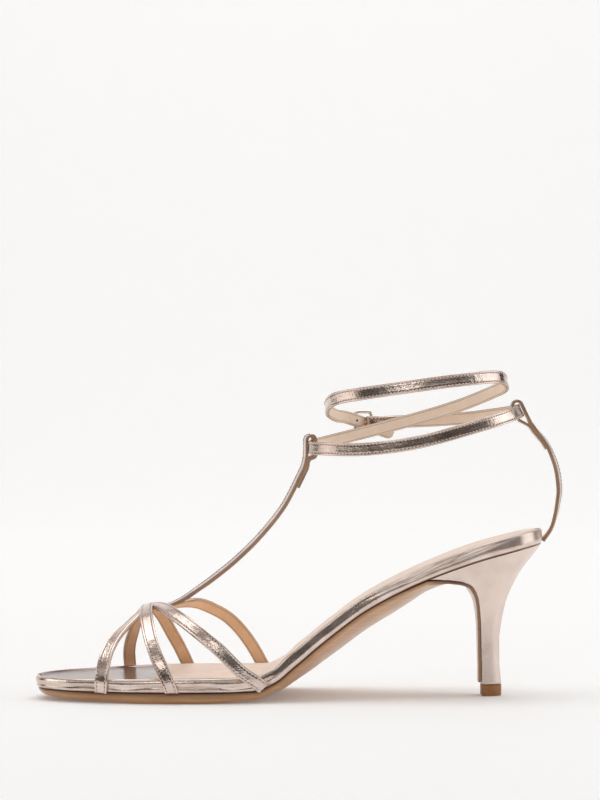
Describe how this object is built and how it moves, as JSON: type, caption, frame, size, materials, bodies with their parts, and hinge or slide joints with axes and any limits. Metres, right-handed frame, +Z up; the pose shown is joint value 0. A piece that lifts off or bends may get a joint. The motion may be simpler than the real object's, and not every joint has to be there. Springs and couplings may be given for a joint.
{
  "type": "strappy heeled sandal",
  "caption": "Women's right T-strap sandal on a slim mid-height heel, with crossed vamp straps, a heel strap and an ankle strap that wraps twice and buckles at the side",
  "frame": {"origin": "on the floor, under the middle of the shoe's bounding box", "axes": "+X runs from the toe to the heel, -Y is the medial side, +Z is up"},
  "size_m": [0.236, 0.082, 0.1461],
  "materials": {
    "metallic_leather": "rose-gold metallic foil on fine-grained leather, glossy with soft creases, tan lining behind",
    "sock_leather": "smooth nude-pink lining leather, matte",
    "outsole": "tan sole leather, satin, darker along its upper edge",
    "top_piece": "brown hard rubber, matte",
    "buckle_metal": "pale polished plating",
    "prong_metal": "polished pale gold"
  },
  "bodies": {
    "root": {"outsole": "outsole", "insole": "metallic_leather", "sock": "sock_leather", "heel": "metallic_leather", "top_piece": "top_piece", "upper": "metallic_leather", "back_strap": "metallic_leather", "ankle_strap": "metallic_leather", "buckle_frame": "buckle_metal", "buckle_prong": "prong_metal"}
  },
  "joints": []
}
